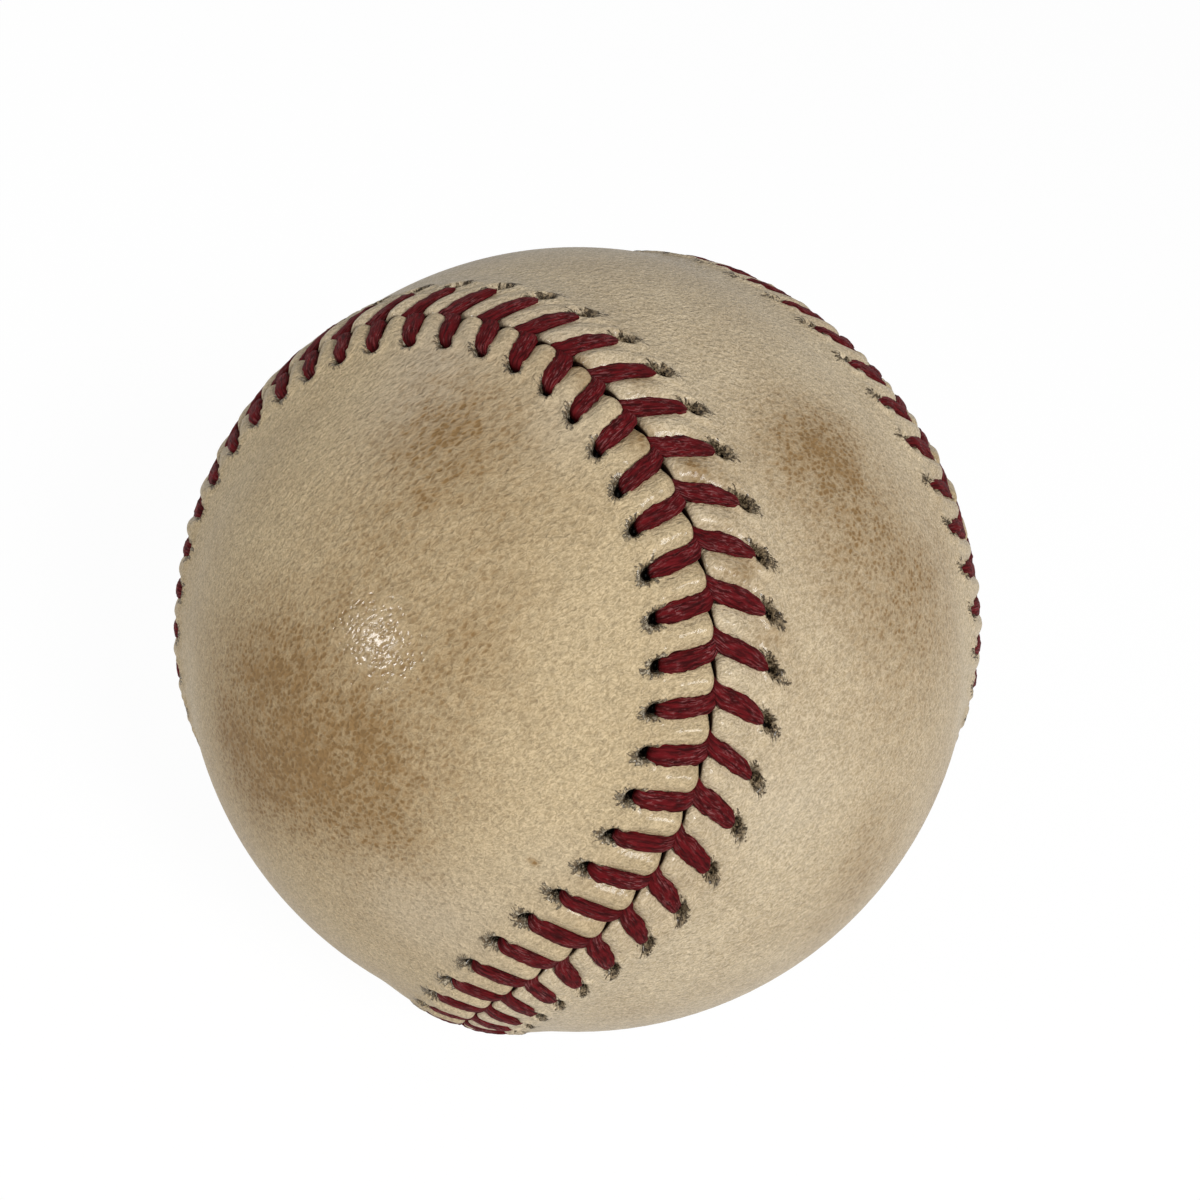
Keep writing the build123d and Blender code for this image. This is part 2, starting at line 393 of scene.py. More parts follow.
def leather_height(side, station, reach):
    """The outer radius of the leather: the ball, the ridge and the pillows, less the holes' rimmed pits.

    The ridge falls off with the reach. A pillow swells between two legs as a wave and fades by the holes."""
    offset, count = beside_leg(side, station, reach)
    hole = hole_at(side, station)
    ridge = ball_radius + seam_lift * (1 - step(reach, ridge_start, ridge_end))
    wave = (0.5 - 0.5 * np.cos(2 * np.pi * offset / stitch_pitch)) ** pillow_power
    swell = 1 - step(reach / hole, *pillow_fade_shares[side])
    vary = 1 + pillow_vary_share * wander(side, swell_trait, count % stitch_count)
    pillow = (pillow_height * vary * wave - seat_depth) * swell
    pit = np.hypot((offset + hole_slide[side]) / pit_wide, (reach - hole) / pit_long)
    hollow = -pit_depth * (1 - step(pit, *pit_wall_shares))
    return ridge + pillow + hollow + rim_height * hump(pit, rim_share, rim_width_share)


# The rows of a panel, by their reach from the seam: inner side, lip, pillows, slope and field
under_reach = 0.0060
roof_reach = 0.0040
lip_bends = np.radians((0, 20, 40, 60, 80))
pillow_rows = 20
field_reach = 0.0090
slope_reaches = (0.0060, 0.0064, 0.0069, 0.0075, 0.0082, field_reach)
inner_field_shares = (1, 0.5)
outer_field_shares = np.linspace(0, 1, 15)[1:]


def panel_rows(side, station):
    """The rows of one panel from the inner spine round the edge to the outer spine.

    Each row has a reach and a radius for every station, and a share of painted shade that is 1 inside the
    seam's gap."""
    inner = ball_radius - leather_thickness
    roof = seam_top - leather_thickness
    edge = leather_edge(side, station)
    flat = np.ones_like(station)
    rows = []
    for reach, radius in ((field_reach, inner), (under_reach, inner), (roof_reach, roof)):
        rows.append((reach * flat, radius * flat, flat))
    top = leather_height(side, station, edge + lip_length)
    for rise in (0, 0.5):
        rows.append((edge, roof + (top - lip_drop - roof) * rise, flat))
    for bend in lip_bends:
        reach = edge + lip_length * (1 - np.cos(bend))
        # The lip's share of painted gap shade fades as the lip turns up out of the gap
        rows.append((reach, top - lip_drop * (1 - np.sin(bend)), (1 - np.sin(bend)) ** 3 * flat))
    for share in np.linspace(0, 1, pillow_rows):
        reach = edge + lip_length + (pillow_reach - edge - lip_length) * share
        rows.append((reach, leather_height(side, station, reach), 0 * flat))
    for reach in slope_reaches:
        rows.append((reach * flat, leather_height(side, station, reach * flat), 0 * flat))
    return rows


def spine_point(side, point):
    """The point of the panel's middle line that a point of its edge is gathered to.

    The middle line is an arc over the waist, from the middle of one round end to that of the other."""
    lengthwise = np.array((1, -side, 0)) / np.sqrt(2)
    waist = np.array((0, 0, side))
    end_axis = seam_arcs[2][1]
    end_angle = np.pi - np.arccos(abs(end_axis[2]))
    angle = np.arctan2(point @ lengthwise, point @ waist)
    angle = np.clip(angle, -end_angle, end_angle)[..., None]
    return waist * np.cos(angle) + lengthwise * np.sin(angle)


least_sine = 1e-9


def between_directions(start, end, share):
    """Directions on the great circle from one to another, by a share of the angle between them."""
    angle = np.arccos(np.clip(np.sum(start * end, axis=-1, keepdims=True), -1, 1))
    whole = np.maximum(np.sin(angle), least_sine)
    return (start * np.sin((1 - share) * angle) + end * np.sin(share * angle)) / whole


weld_distance = 1e-6


def grid_piece(name, points, marks, uv):
    """A mesh piece from a grid of points, with its doubled points merged and its faces turned outwards.

    Each square of the grid is a face. Marks are named values at the points, and uv is the seam's own map."""
    rows, columns = points.shape[:2]
    index = np.arange(rows * columns).reshape(rows, columns)
    squares = np.stack((index[:-1, :-1], index[:-1, 1:], index[1:, 1:], index[1:, :-1]), axis=-1)
    squares = squares.reshape(-1, 4)
    mesh = bpy.data.meshes.new(name)
    mesh.vertices.add(rows * columns)
    mesh.vertices.foreach_set("co", points.astype(np.float32).ravel())
    mesh.loops.add(squares.size)
    mesh.loops.foreach_set("vertex_index", squares.astype(np.int32).ravel())
    mesh.polygons.add(len(squares))
    mesh.polygons.foreach_set("loop_start", np.arange(0, squares.size, 4, dtype=np.int32))
    mesh.update()
    seam_map = mesh.uv_layers.new(name="seam")
    seam_map.data.foreach_set("uv", uv.reshape(-1, 2)[squares].astype(np.float32).ravel())
    for mark, value in marks.items():
        layer = mesh.attributes.new(mark, "FLOAT", "POINT")
        layer.data.foreach_set("value", value.astype(np.float32).ravel())
    welded = bmesh.new()
    welded.from_mesh(mesh)
    bmesh.ops.remove_doubles(welded, verts=welded.verts, dist=weld_distance)
    bmesh.ops.recalc_face_normals(welded, faces=welded.faces)
    welded.to_mesh(mesh)
    welded.free()
    mesh.shade_smooth()
    piece = bpy.data.objects.new(name, mesh)
    bpy.context.scene.collection.objects.link(piece)
    return piece


def on_ball(picture_x, picture_y):
    """The direction of the ball's point at a pixel: where the camera's ray first meets the ball."""
    per_pixel = camera_sensor / camera_lens / picture_side
    right = (picture_x - picture_side / 2) * per_pixel + camera_shift[0] * camera_sensor / camera_lens
    up = (picture_side / 2 - picture_y) * per_pixel + camera_shift[1] * camera_sensor / camera_lens
    ray = (camera_right * right + camera_up * up - toward_camera).normalized()
    eye = toward_camera * camera_distance
    reach = -ray.dot(eye)
    reach -= np.sqrt(max(ball_radius**2 - eye.length_squared + reach**2, 0))
    return np.array((eye + ray * reach).normalized())


# Brown handling stains: where each shows in the picture, how wide it is in metres and how strong
stain_spots = [
    (330, 765, 0.0085, 0.75), (395, 800, 0.0060, 0.40), (265, 650, 0.0065, 0.34), (300, 700, 0.0075, 0.30),
    (460, 432, 0.0055, 0.50), (400, 470, 0.0080, 0.30), (480, 560, 0.0085, 0.22), (470, 645, 0.0035, 0.30),
    (835, 470, 0.0070, 0.45), (885, 545, 0.0080, 0.52), (800, 440, 0.0050, 0.30), (935, 620, 0.0070, 0.34),
    (569, 373, 0.0014, 0.80), (638, 443, 0.0014, 0.75), (638, 386, 0.0013, 0.70), (687, 472, 0.0013, 0.60),
    (737, 569, 0.0015, 0.45), (769, 639, 0.0018, 0.40), (534, 862, 0.0003, 1.00), (588, 392, 0.0009, 0.60),
    (900, 760, 0.0090, 0.25), (850, 880, 0.0070, 0.22), (420, 700, 0.0070, 0.25), (240, 760, 0.0060, 0.35),
    (275, 795, 0.0070, 0.42), (225, 660, 0.0060, 0.35), (250, 720, 0.0060, 0.20), (350, 560, 0.0090, 0.15),
    (700, 478, 0.0020, 0.40), (725, 500, 0.0020, 0.25), (720, 560, 0.0030, 0.20), (790, 560, 0.0060, 0.13),
    (940, 560, 0.0050, 0.18), (940, 790, 0.0050, 0.16), (865, 865, 0.0050, 0.14), (690, 862, 0.0030, 0.16),
]
# Rubbed pale places, given the same way
rubbed_spots = [
    (440, 385, 0.0060, 0.55), (560, 425, 0.0040, 0.45), (440, 350, 0.0040, 0.40), (470, 930, 0.0070, 0.40),
    (400, 905, 0.0060, 0.35), (790, 800, 0.0050, 0.30), (560, 870, 0.0040, 0.25), (487, 1012, 0.0050, 0.50),
    (560, 335, 0.0030, 0.50), (412, 415, 0.0060, 0.30),
]
# The sides that the picture doesn't show carry like stains, at drawn places
hidden_stains = 26
hidden_widths = (0.004, 0.010)
hidden_strengths = (0.2, 0.7)
hidden_start = 0.15


def round_spot(direction, middle, width, strength):
    """A soft round spot: a bell of the arc from its middle."""
    angle = np.arccos(np.clip(direction @ middle, -1, 1))
    return strength * hump(angle * ball_radius, 0, width)


def picture_spots(direction, spots):
    """The sum of the round spots of a list, each placed by where it shows in the picture."""
    total = np.zeros(direction.shape[:-1])
    for picture_x, picture_y, width, strength in spots:
        total += round_spot(direction, on_ball(picture_x, picture_y), width, strength)
    return total


def stain_share(direction):
    """How brown the leather is in a direction: the picture's spots, and drawn ones away from the camera."""
    total = picture_spots(direction, stain_spots)
    draws = np.random.default_rng(21)
    for spot in range(hidden_stains):
        middle = draws.normal(size=3)
        middle /= np.linalg.norm(middle)
        width = draws.uniform(*hidden_widths)
        behind = step(-(middle @ np.array(toward_camera)), -hidden_start, hidden_start)
        total += round_spot(direction, middle, width, draws.uniform(*hidden_strengths) * behind)
    return np.clip(total, 0, 1)


def rubbed_share(direction):
    """How pale the leather is rubbed in a direction: the sum of the rubbed spots."""
    return np.clip(picture_spots(direction, rubbed_spots), 0, 1)


hide_dark = {upper_side: (0.485, 0.380, 0.232, 1), lower_side: (0.440, 0.333, 0.190, 1)}
hide_pale = {upper_side: (0.805, 0.665, 0.465, 1), lower_side: (0.735, 0.582, 0.362, 1)}
rubbed_cream = (0.68, 0.59, 0.46, 1)
rubbed_most = 0.6
stain_brown = (0.30, 0.180, 0.072, 1)
# The cut edge and underside in the seam's gap: partly their own dark brown, partly painted shade of the gap
cut_edge_and_gap_shade = (0.035, 0.018, 0.012, 1)
lay_angle = np.radians(32)
grain_lay = camera_right * np.cos(lay_angle) + camera_up * np.sin(lay_angle)
lay_stretch = 0.40
wobble_size = 0.0007
wobble_depth = 0.0004
cell_size = 0.00038
pore_size = 0.00014
mottle_size = 0.0012
pebble_size = 0.00034
drift_size = 0.011
blotch_size = 0.0042


def mark_value(tree, mark):
    """A named mark of the mesh's points, as a value."""
    return add_node(tree, "ShaderNodeAttribute", {}, attribute_name=mark).outputs["Fac"]


def hide_grain(tree, place):
    """The grain of the hide: cells, drawn out along the lay and shaken by noise, with pores and pebbles.

    Gives the cells' borders and shades, the pores, the mottle and the pebbles, each as a value of 0 to 1."""
    along = reckon(tree, "MULTIPLY", reckon_vector(tree, "DOT_PRODUCT", place, grain_lay), lay_stretch)
    drawn = reckon_vector(tree, "SUBTRACT", place, reckon_vector(tree, "SCALE", grain_lay, along))
    shaken = {"Vector": place, "Scale": 1 / wobble_size, "Detail": 1.0}
    wobble = add_node(tree, "ShaderNodeTexNoise", shaken).outputs[1]
    wobble = reckon_vector(tree, "SCALE", wobble, wobble_depth)
    drawn = reckon_vector(tree, "ADD", drawn, wobble)
    cells = add_node(tree, "ShaderNodeTexVoronoi", {"Vector": drawn, "Scale": 1 / cell_size})
    border = spread(tree, cells.outputs["Distance"], 0.10, 0.70)
    shade = add_node(tree, "ShaderNodeSeparateColor", {0: cells.outputs["Color"]}).outputs[0]
    pores = spread(tree, cloud(tree, drawn, pore_size, detail=2, roughness=0.6), 0.28, 0.72)
    mottle = spread(tree, cloud(tree, drawn, mottle_size, detail=4, roughness=0.65), 0.30, 0.70)
    pebbles = spread(tree, cloud(tree, drawn, pebble_size, detail=2, roughness=0.5), 0.28, 0.72)
    return {"border": border, "shade": shade, "pores": pores, "mottle": mottle, "pebbles": pebbles}


def hide_colour(tree, side, place, grain):
    """Cream leather from a dark to a pale tone, rubbed paler, browned by stains and shaded cell by cell."""
    blotch = spread(tree, cloud(tree, place, blotch_size, detail=5, roughness=0.6), 0.32, 0.68, 0.82, 1.15)
    drift = spread(tree, cloud(tree, place, drift_size, detail=3), 0.35, 0.75, -0.05, 0.20)
    dirt = reckon(tree, "ADD", reckon(tree, "MULTIPLY", mark_value(tree, "stain"), blotch), drift)
    speck = spread(tree, grain["mottle"], 0, 1, 0.82, 1.14)
    speck = reckon(tree, "MULTIPLY", speck, spread(tree, grain["border"], 0, 1, 1.25, 0.80))
    speck = reckon(tree, "MULTIPLY", speck, spread(tree, grain["shade"], 0, 1, 0.85, 1.15))
    dirt = reckon(tree, "MULTIPLY", dirt, speck, clamp=True)
    cream = blend_colours(tree, grain["pores"], hide_dark[side], hide_pale[side])
    rubbed = reckon(tree, "MULTIPLY", mark_value(tree, "rubbed"), rubbed_most)
    cream = blend_colours(tree, rubbed, cream, rubbed_cream)
    browned = blend_colours(tree, dirt, cream, stain_brown)
    tone = spread(tree, grain["shade"], 0, 1, 0.93, 1.05)
    tone = reckon(tree, "MULTIPLY", tone, spread(tree, grain["border"], 0, 1, 0.90, 1.04))
    tone = add_node(tree, "ShaderNodeCombineXYZ", {0: tone, 1: tone, 2: tone}).outputs[0]
    return blend_colours(tree, 1.0, browned, tone, how="MULTIPLY")


# The frayed awl holes are drawn in millimetres on the seam's own map, whose second axis is in centimetres
map_scale = 100
millimetres = 1000
fray_radius = {upper_side: 0.74, lower_side: 0.98}
fray_shape = {upper_side: (0.92, 1.45), lower_side: (0.90, 1.05)}
fray_dark = {upper_side: (0.032, 0.020, 0.009, 1), lower_side: (0.150, 0.105, 0.060, 1)}
fray_pale = {upper_side: (0.37, 0.275, 0.165, 1), lower_side: (0.60, 0.51, 0.37, 1)}
fray_most = 0.96
fray_edge_shares = (0.85, 1.12)
outline_brown = (0.085, 0.055, 0.028, 1)
outline_most = 0.6
outline_rise_shares = (0.70, 0.95)
outline_fall_shares = (0.95, 1.15)
hair_brown = (0.085, 0.054, 0.027, 1)
hair_share = {upper_side: 0.55, lower_side: 0.85}
hair_start = 0.5
hair_end_share = 1.4
hairs_round = 4.0
# The open bore is painted black as the shade inside the hole, within this radius
bore_shade_radius = {upper_side: 0.26, lower_side: 0.62}
bore_shade_edge_shares = (0.7, 1.3)
bore_painted_shade = (0.008, 0.006, 0.004, 1)
tear_size = 0.00040
tear_depth = 0.25
hair_depth = 0.35
fuzz_size = 0.00034


def streaks(tree, place, roughness, distortion):
    """Noise with lumps of one unit on a stretched map: its value."""
    inputs = {"Vector": place, "Scale": 1.0, "Detail": 3.0, "Roughness": roughness, "Distortion": distortion}
    return add_node(tree, "ShaderNodeTexNoise", inputs).outputs[0]


def hole_fray(tree, side, place, seam_u, seam_v):
    """How far points lie from the nearest awl hole: the root of the squares beside it and beyond it.

    Gives that distance, the same torn by noise, the same with hairs too, and the hairs that fan out."""
    beside = reckon(tree, "SUBTRACT", 0.5, reckon(tree, "FRACT", reckon(tree, "ADD", seam_u, 0.5)))
    beside = reckon(tree, "MULTIPLY", beside, stitch_pitch * millimetres)
    beside = reckon(tree, "ADD", beside, hole_slide[side] * millimetres)
    beside = reckon(tree, "DIVIDE", beside, fray_shape[side][0])
    beyond = reckon(tree, "MULTIPLY", seam_v, millimetres / map_scale)
    beyond = reckon(tree, "SUBTRACT", beyond, hole_reach[side] * millimetres)
    beyond = reckon(tree, "DIVIDE", beyond, fray_shape[side][1])
    squares = [reckon(tree, "MULTIPLY", length, length) for length in (beside, beyond)]
    distance = reckon(tree, "SQRT", reckon(tree, "ADD", *squares))
    bearing = reckon(tree, "MULTIPLY", reckon(tree, "ARCTAN2", beside, beyond), hairs_round)
    fan = add_node(tree, "ShaderNodeCombineXYZ", {0: bearing, 1: distance, 2: seam_u}).outputs[0]
    hairs = streaks(tree, fan, roughness=0.65, distortion=0.7)
    tear = cloud(tree, place, tear_size, detail=4, roughness=0.7)
    torn = reckon(tree, "ADD", distance, spread(tree, tear, 0.25, 0.75, -tear_depth, tear_depth))
    ragged = reckon(tree, "ADD", torn, spread(tree, hairs, 0.3, 0.7, -hair_depth, hair_depth))
    return distance, torn, ragged, hairs


def frayed_colour(tree, side, browned, fuzz, fray):
    """The awl holes over the leather's colour: torn fibres, a dark outline, thin hairs and the open bore.

    Each is a band of the distance from the hole, and the black of the open bore is painted shade.
    Gives the colour, and the share that is torn fibres."""
    distance, torn, ragged, hairs = fray
    radius = fray_radius[side]
    frayed = spread(tree, ragged, *[radius * share for share in fray_edge_shares], fray_most, 0)
    fibres = blend_colours(tree, fuzz, fray_dark[side], fray_pale[side])
    colour = blend_colours(tree, frayed, browned, fibres)
    rising = spread(tree, ragged, *[radius * share for share in outline_rise_shares], 0, outline_most)
    falling = spread(tree, ragged, *[radius * share for share in outline_fall_shares], 1, 0)
    colour = blend_colours(tree, reckon(tree, "MULTIPLY", rising, falling), colour, outline_brown)
    near = spread(tree, distance, hair_start, radius * hair_end_share, hair_share[side], 0)
    thin = reckon(tree, "MULTIPLY", spread(tree, hairs, 0.54, 0.68), near)
    colour = blend_colours(tree, thin, colour, hair_brown)
    # The black in the open bore is painted shade inside the hole
    bore_shade = spread(tree, torn, *[bore_shade_radius[side] * share for share in bore_shade_edge_shares], 1, 0)
    return blend_colours(tree, bore_shade, colour, bore_painted_shade), frayed


hide_bump = 0.00013
grain_relief_shares = {"border": 0.25, "pores": 0.20, "pebbles": 0.55}
fuzz_relief_share = 1.4
crease_relief_share = 0.45
crease_counts = (11.0, 4.0)
fray_roughness = 0.6
polish_weight = 0.26
polish_roughness = 0.13
polish_bump = 0.000016


def hide_relief(tree, grain, torn_fuzz, seam_u, seam_v):
    """The height of the skin: cells, pores and pebbles, the fuzz of torn holes, and creases by the seam."""
    across = reckon(tree, "MULTIPLY", seam_u, crease_counts[0])
    outward = reckon(tree, "MULTIPLY", seam_v, crease_counts[1])
    crease_place = add_node(tree, "ShaderNodeCombineXYZ", {0: across, 1: outward}).outputs[0]
    creases = spread(tree, cloud(tree, crease_place, 1.0, detail=3, roughness=0.6), 0.30, 0.70)
    relief = reckon(tree, "MULTIPLY", creases, spread(tree, seam_v, 0.25, 0.50, crease_relief_share, 0))
    for layer, share in grain_relief_shares.items():
        relief = reckon(tree, "ADD", relief, reckon(tree, "MULTIPLY", grain[layer], share))
    return reckon(tree, "ADD", relief, reckon(tree, "MULTIPLY", torn_fuzz, fuzz_relief_share))


def leather_finish(name, side):
    """Worn cowhide: the grained and stained hide, its frayed holes, and a thin polish over the dull skin."""
    finish, tree, shader = new_finish(name)
    place = object_place(tree)
    seam_map = add_node(tree, "ShaderNodeUVMap", {}, uv_map="seam").outputs[0]
    seam_u, seam_v = add_node(tree, "ShaderNodeSeparateXYZ", {0: seam_map}).outputs[:2]
    grain = hide_grain(tree, place)
    browned = hide_colour(tree, side, place, grain)
    fuzz = spread(tree, cloud(tree, place, fuzz_size, detail=3, roughness=0.7), 0.42, 0.56)
    fray = hole_fray(tree, side, place, seam_u, seam_v)
    holed, frayed = frayed_colour(tree, side, browned, fuzz, fray)
    # The seam's gap takes the cut edge's dark brown, deepened as painted shade
    colour = blend_colours(tree, mark_value(tree, "gap_shade_share"), holed, cut_edge_and_gap_shade)
    tree.links.new(colour, shader.inputs["Base Color"])
    rough = reckon(tree, "MULTIPLY", frayed, fray_roughness)
    rough = reckon(tree, "ADD", rough, spread(tree, grain["mottle"], 0, 1, 0.30, 0.22))
    tree.links.new(rough, shader.inputs["Roughness"])
    shader.inputs["Specular IOR Level"].default_value = 0.0
    relief = hide_relief(tree, grain, reckon(tree, "MULTIPLY", frayed, fuzz), seam_u, seam_v)
    raise_bump(tree, shader, relief, hide_bump)
    shader.inputs["Coat Weight"].default_value = polish_weight
    shader.inputs["Coat Roughness"].default_value = polish_roughness
    polish = add_node(tree, "ShaderNodeBump", {"Height": grain["border"], "Distance": polish_bump})
    tree.links.new(polish.outputs[0], shader.inputs["Coat Normal"])
    return finish


def cover_panel(name, node, side):
    """One whole panel: rows that keep their distance from the seam, then rows gathered to its spine."""
    columns = stitch_count * stitch_columns
    station = np.linspace(0, seam_length, columns + 1)
    rows = panel_rows(side, station)
    points = [beside_seam(station, side * reach, radius) for reach, radius, gap_shade_share in rows]
    reaches = [reach for reach, radius, gap_shade_share in rows]
    gap_shade_shares = [gap_shade_share for reach, radius, gap_shade_share in rows]
    outer = points[-1] / np.linalg.norm(points[-1], axis=-1, keepdims=True)
    spine = spine_point(side, outer)
    gather = np.arccos(np.clip(np.sum(outer * spine, axis=-1), -1, 1)) * ball_radius
    field_rows = [(share, ball_radius - leather_thickness) for share in inner_field_shares]
    field_rows += [(share, ball_radius) for share in outer_field_shares]
    field = [between_directions(outer, spine, share) * radius for share, radius in field_rows]
    far = [field_reach + gather * share for share, radius in field_rows]
    inner_rows = len(inner_field_shares)
    flat = np.ones_like(station)
    points = np.array(field[:inner_rows] + points + field[inner_rows:])
    reach = np.array(far[:inner_rows] + reaches + far[inner_rows:])
    # The share of painted shade in the seam's gap, for every row
    gap_shade_share = np.array([flat] * inner_rows + gap_shade_shares + [0 * flat] * len(outer_field_shares))
    count = beside_leg(side, station[None] * np.ones_like(reach), reach)[1]
    uv = np.stack((count, reach * map_scale * hole_reach[side] / hole_at(side, station)), axis=-1)
    direction = points / np.linalg.norm(points, axis=-1, keepdims=True)
    marks = {"stain": stain_share(direction), "rubbed": rubbed_share(direction), "gap_shade_share": gap_shade_share}
    panel = grid_piece(name, points, marks, uv)
    panel.data.materials.append(leather_finish(name, side))
    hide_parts(node)
    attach(panel, "root")


cover_panel("upper_hide", "upper_cover_panel", upper_side)
cover_panel("lower_hide", "lower_cover_panel", lower_side)

# The lacing. Two waxed red cotton threads, each sewn by hand with its own needle: up through a hole, over
# the leather, down the seam, and under the other panel to its next hole. Their legs lie flat and wear pale,
# and their pale fibres also carry painted highlights.
lace_steps = 5
lace_corners = 18
leg_end = {upper_side: 0.0043, lower_side: 0.0039}
# Nine points make a stitch: the hole's floor and mouth, four along the leg, and three down the stem
leg_reach_shares = np.array((1.02, 1.03, 0.98, 0.76, 0.50, 0.26, 0.06, -0.03, 0.0))
leg_slides = np.array((0, 0, 0, 0, 0, -0.00003, -0.00022, -0.00100, -0.00170))
stem_heights = (0.00012, -0.00005, -0.00135)
leg_heights = {
    upper_side: np.array((-0.00135, -0.00060, 0.00002, 0.00010, 0.00017, 0.00018, *stem_heights)),
    lower_side: np.array((-0.00135, -0.00055, 0.00010, 0.00016, 0.00020, 0.00018, *stem_heights)),
}
leg_half_widths = {
    upper_side: np.array((0.00026, 0.00032, 0.00048, 0.00074, 0.00086, 0.00086, 0.00070, 0.00040, 0.00030)),
    lower_side: np.array((0.00060, 0.00066, 0.00074, 0.00080, 0.00080, 0.00078, 0.00070, 0.00042, 0.00030)),
}
leg_half_heights = np.array(
    (0.00022, 0.00026, 0.00031, 0.00035, 0.00036, 0.00036, 0.00034, 0.00028, 0.00018))
leg_width_vary_share = 0.10


def lace_route(first_side):
    """The control points of one thread: station, signed reach, height, half width and half height.

    Stitches alternate between the panels. A stem slides along the seam to the next stitch as it dives."""
    stitch = np.arange(stitch_count)[:, None]
    side = first_side * (1 - 2 * (stitch % 2))
    on_upper = side == upper_side
    end = {}
    for panel in (upper_side, lower_side):
        end[panel] = leg_end[panel] * hole_at(panel, -stitch * stitch_pitch) / hole_reach[panel]
    reach = np.where(on_upper, end[upper_side], end[lower_side]) * leg_reach_shares
    upper = leg_station(upper_side, stitch, reach)
    lower = leg_station(lower_side, stitch, reach)
    station = np.where(on_upper, upper, lower) + leg_slides
    height = np.where(on_upper, leg_heights[upper_side], leg_heights[lower_side])
    half_width = np.where(on_upper, leg_half_widths[upper_side], leg_half_widths[lower_side])
    upper_stray = wander(upper_side, width_trait, stitch)
    lower_stray = wander(lower_side, width_trait, stitch)
    half_width = half_width * (1 + leg_width_vary_share * np.where(on_upper, upper_stray, lower_stray))
    route = (station, side * reach, height, half_width, leg_half_heights * np.ones_like(reach))
    return np.stack(route, axis=-1).reshape(-1, len(route))


def smooth_line(control, steps):
    """A uniform cubic B-spline: each point is a weighed mean of four neighbouring control points."""
    share = np.linspace(0, 1, steps, endpoint=False)
    before = 3 * share**3 - 6 * share**2 + 4
    after = -3 * share**3 + 3 * share**2 + 3 * share + 1
    weights = np.stack(((1 - share) ** 3, before, after, share**3)) / 6
    around = np.concatenate((control[:1], control, control[-1:], control[-1:]))
    windows = np.stack([around[shift:shift + len(control)] for shift in range(4)])
    return np.einsum("ws,wnc->nsc", weights, windows).reshape(-1, control.shape[1])


strand_counts = (0.75, 18.0, 1.0)
hair_counts = (1.5, 36.0, 1.0)
worn_glint_size = 0.0016
thread_dark = (0.030, 0.0008, 0.0012, 1)
thread_crimson = (0.145, 0.0055, 0.0085, 1)
# The paler fibres: partly worn thread, partly painted highlight
thread_worn_glint = (0.26, 0.095, 0.095, 1)
thread_bump = 0.00012
thread_hair_share = 0.6
thread_roughness = 0.72
thread_gloss = 0.10


def thread_finish():
    """Waxed cotton: fine fibres that run along the thread, crimson with paler worn ones on the crown.

    The paler fibres are partly wear and partly painted highlight.
    """
    finish, tree, shader = new_finish("waxed_red_thread")
    place = object_place(tree)
    seam_map = add_node(tree, "ShaderNodeUVMap", {}, uv_map="seam").outputs[0]
    strand_place = reckon_vector(tree, "MULTIPLY", seam_map, strand_counts)
    strands = streaks(tree, strand_place, roughness=0.6, distortion=0.4)
    hair_place = reckon_vector(tree, "MULTIPLY", seam_map, hair_counts)
    hairs = streaks(tree, hair_place, roughness=0.7, distortion=0.5)
    worn_glint_patches = spread(tree, cloud(tree, place, worn_glint_size, detail=3), 0.38, 0.62, 0.08, 0.85)
    crimson = blend_colours(tree, spread(tree, strands, 0.32, 0.68), thread_dark, thread_crimson)
    # The paler fibres are partly worn thread and partly painted highlight
    pale = reckon(tree, "MULTIPLY", spread(tree, hairs, 0.50, 0.66), worn_glint_patches)
    tree.links.new(blend_colours(tree, pale, crimson, thread_worn_glint), shader.inputs["Base Color"])
    shader.inputs["Roughness"].default_value = thread_roughness
    shader.inputs["Specular IOR Level"].default_value = thread_gloss
    relief = reckon(tree, "ADD", strands, reckon(tree, "MULTIPLY", hairs, thread_hair_share))
    raise_bump(tree, shader, relief, thread_bump)
    return finish


red_thread = thread_finish()
thread_seed = 5
fibre_share = 0.10
# Slow sines round the thread: the share of its size, how often round, how fast along it, and where it starts
ply_sines = ((0.03, 2, 2300, 0), (0.02, 3, -3100, 2))
ring_power = 0.85


def squared(wave):
    """A sine or cosine with blunter crests, so that a ring is a little square."""
    return np.sign(wave) * np.abs(wave) ** ring_power


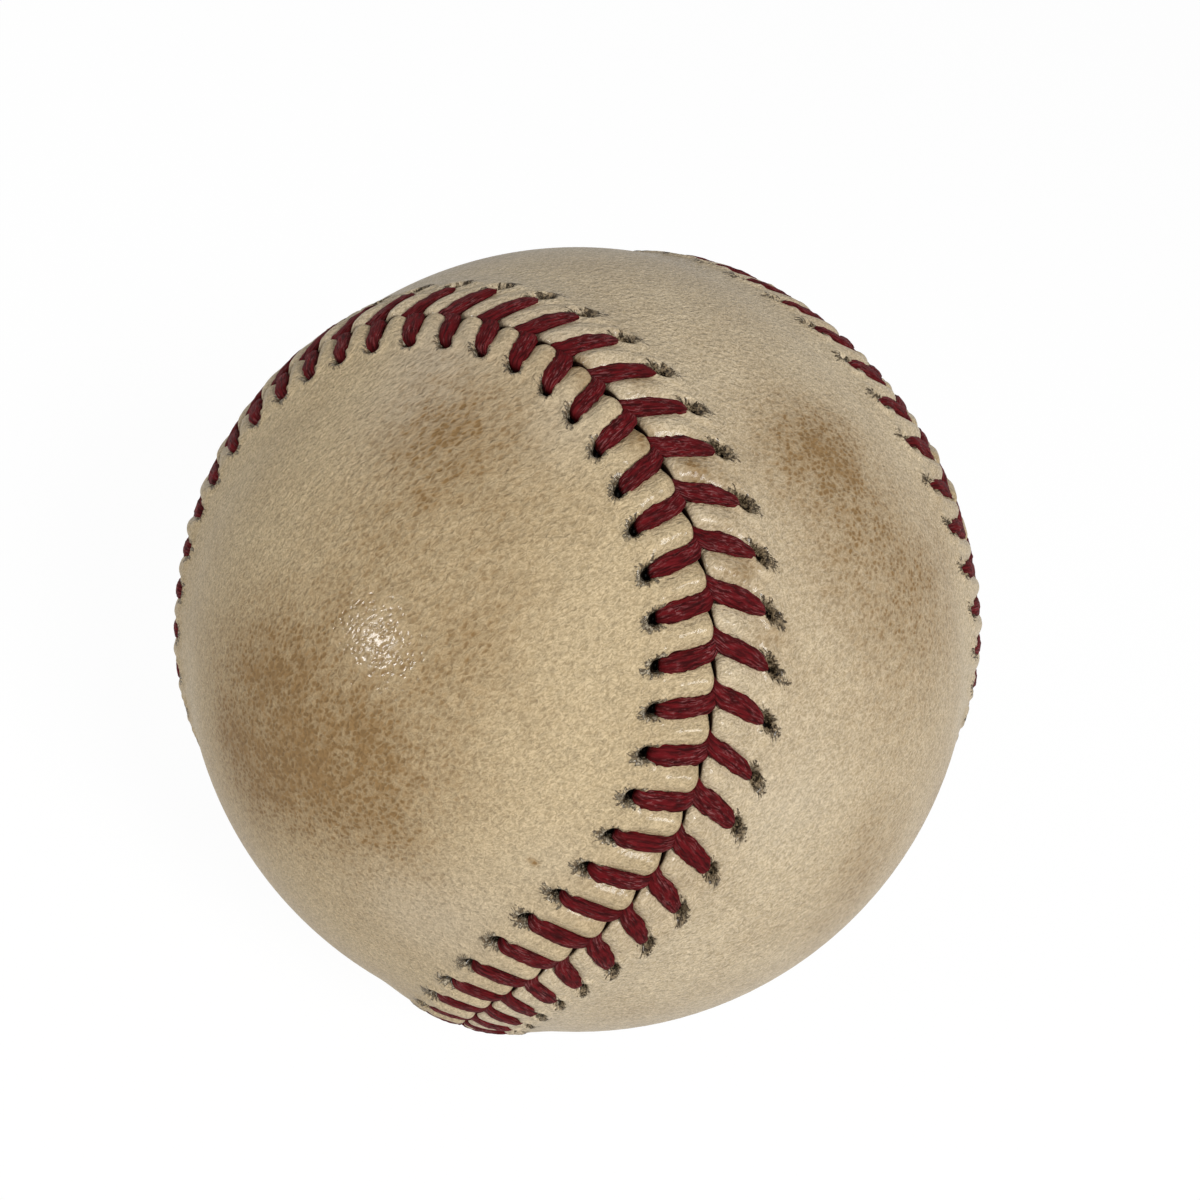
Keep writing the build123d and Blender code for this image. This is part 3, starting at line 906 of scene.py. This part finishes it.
def lacing_thread(name, node, first_side):
    """One thread swept along its smooth route: flattened rings that stay square to the route.

    A ring is wide along the seam and low off the leather, with fibres raised by noise and slow sines."""
    line = smooth_line(lace_route(first_side), lace_steps)
    station, across, height, half_width, half_height = line.T
    middle = beside_seam(station, across, seam_top + height)
    tangent = np.gradient(middle, axis=0)
    tangent /= np.linalg.norm(tangent, axis=-1, keepdims=True)
    along = seam_frame(station)[1]
    wide = along - tangent * np.sum(along * tangent, axis=-1, keepdims=True)
    wide /= np.linalg.norm(wide, axis=-1, keepdims=True)
    high = np.cross(tangent, wide)
    travel = np.concatenate(([0], np.cumsum(np.linalg.norm(np.diff(middle, axis=0), axis=-1))))
    turn = np.linspace(0, 2 * np.pi, lace_corners + 1)
    around, run = np.meshgrid(turn, travel)
    strands = np.random.default_rng(thread_seed + first_side).normal(size=(len(travel), lace_corners))
    strands = (np.roll(strands, 1, 0) + 2 * strands + np.roll(strands, -1, 0)) / 4
    fibre = fibre_share * np.concatenate((strands, strands[:, :1]), axis=1)
    for share, round_count, along_rate, start in ply_sines:
        fibre += share * np.sin(round_count * around + run * along_rate + start)
    shut = np.ones_like(travel)
    shut[[0, -1]] = 0
    size = (1 + fibre) * shut[:, None]
    sideways = half_width[:, None] * squared(np.cos(around)) * size
    upwards = half_height[:, None] * squared(np.sin(around)) * size
    points = middle[:, None] + wide[:, None] * sideways[..., None] + high[:, None] * upwards[..., None]
    uv = np.stack((run * millimetres, around / (2 * np.pi)), axis=-1)
    thread = grid_piece(name, points, {}, uv)
    thread.data.materials.append(red_thread)
    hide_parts(node)
    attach(thread, "root")


lacing_thread("first_lacing", "first_thread", upper_side)
lacing_thread("second_lacing", "second_thread", lower_side)

# The stage. A white floor that the ball stands on, a soft white surround, one broad lamp to the right of the
# camera and one small lamp far to its left, which makes the spark on the leather.
floor_gap = 0.0002
floor_level = -ball_radius - floor_gap
floor_half = 2.0
floor_grey = (0.7, 0.7, 0.7, 1)
plain_white = (1, 1, 1, 1)
floor_glow = 1.04
floor_glow_share = 0.93
surround_strength = 0.235


def seen_share(tree):
    """1 for a ray of the camera or a mirrored or passed one, and 0 for a ray that only lights."""
    rays = add_node(tree, "ShaderNodeLightPath", {}).outputs
    seen = reckon(tree, "MAXIMUM", rays["Is Camera Ray"], rays["Is Glossy Ray"])
    return reckon(tree, "MAXIMUM", seen, rays["Is Transmission Ray"])


def stage_floor():
    """A flat square under the ball; the camera sees it nearly white, and it still takes the shadow."""
    mesh = bpy.data.meshes.new("floor")
    signs = ((-1, -1), (1, -1), (1, 1), (-1, 1))
    corners = [(floor_half * right, floor_half * back, floor_level) for right, back in signs]
    mesh.from_pydata(corners, [], [(0, 1, 2, 3)])
    finish, tree, shader = new_finish("white_floor")
    shader.inputs["Base Color"].default_value = floor_grey
    shader.inputs["Roughness"].default_value = 1.0
    shader.inputs["Specular IOR Level"].default_value = 0.0
    glow = add_node(tree, "ShaderNodeEmission", {"Color": plain_white, "Strength": floor_glow}).outputs[0]
    share = reckon(tree, "MULTIPLY", seen_share(tree), floor_glow_share)
    lit = add_node(tree, "ShaderNodeMixShader", {0: share, 1: shader.outputs[0], 2: glow}).outputs[0]
    tree.links.new(lit, tree.nodes["Material Output"].inputs["Surface"])
    mesh.materials.append(finish)
    floor = bpy.data.objects.new("floor", mesh)
    bpy.context.scene.collection.objects.link(floor)


def stage_world():
    """An even white surround, which the camera and the gloss see as plain white."""
    world = bpy.data.worlds.new("surround")
    bpy.context.scene.world = world
    world.use_nodes = True
    tree = world.node_tree
    level = reckon(tree, "MULTIPLY", seen_share(tree), 1 - surround_strength)
    level = reckon(tree, "ADD", level, surround_strength)
    tree.nodes["Background"].inputs["Color"].default_value = plain_white
    tree.links.new(level, tree.nodes["Background"].inputs["Strength"])


def lamp(name, right, up, toward, distance, side, power):
    """A square lamp that faces the ball, placed by a direction in the camera's own axes."""
    light = bpy.data.lights.new(name, "AREA")
    light.size = side
    light.energy = power
    direction = (camera_right * right + camera_up * up + toward_camera * toward).normalized()
    facing = direction.to_track_quat("Z", "Y").to_matrix().to_4x4()
    holder = bpy.data.objects.new(name, light)
    holder.matrix_world = Matrix.Translation(direction * distance) @ facing
    bpy.context.scene.collection.objects.link(holder)


stage_floor()
stage_world()
lamp("broad_lamp", right=0.50, up=-0.04, toward=0.86, distance=0.7, side=0.22, power=3.25)
lamp("small_lamp", right=-0.80, up=0.0, toward=0.60, distance=0.5, side=0.052, power=0.55)
